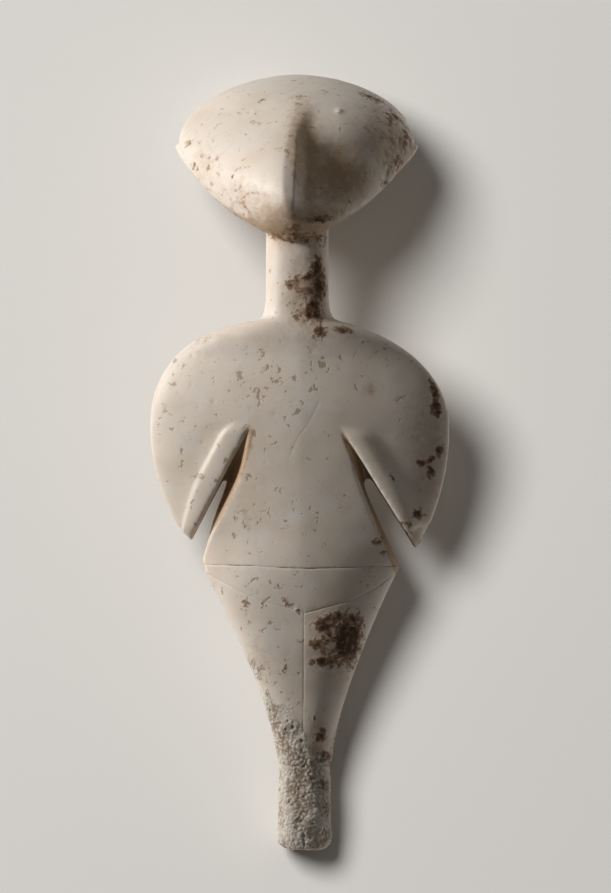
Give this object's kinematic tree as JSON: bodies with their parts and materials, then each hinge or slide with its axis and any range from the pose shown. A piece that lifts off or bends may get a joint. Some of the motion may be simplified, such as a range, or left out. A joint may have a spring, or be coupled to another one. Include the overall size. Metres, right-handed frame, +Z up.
{
  "type": "marble stargazer figurine",
  "caption": "Small flat marble figurine with a large oval head tilted back, flipper arms and joined legs tapering to small feet, lying on its back.",
  "frame": {"origin": "centre of the bounding box's underside, on the ground between the crown and the heels", "axes": "+Y from the feet to the head, +Z up, out of the chest side, +X to the right as seen when looking down at the front"},
  "size_m": [0.0664, 0.1766, 0.0495],
  "materials": {
    "marble": "smooth rubbed marble, warm ivory, with brown root marks and patches of lime crust"
  },
  "bodies": {
    "root": {"figurine": "marble"}
  },
  "joints": []
}
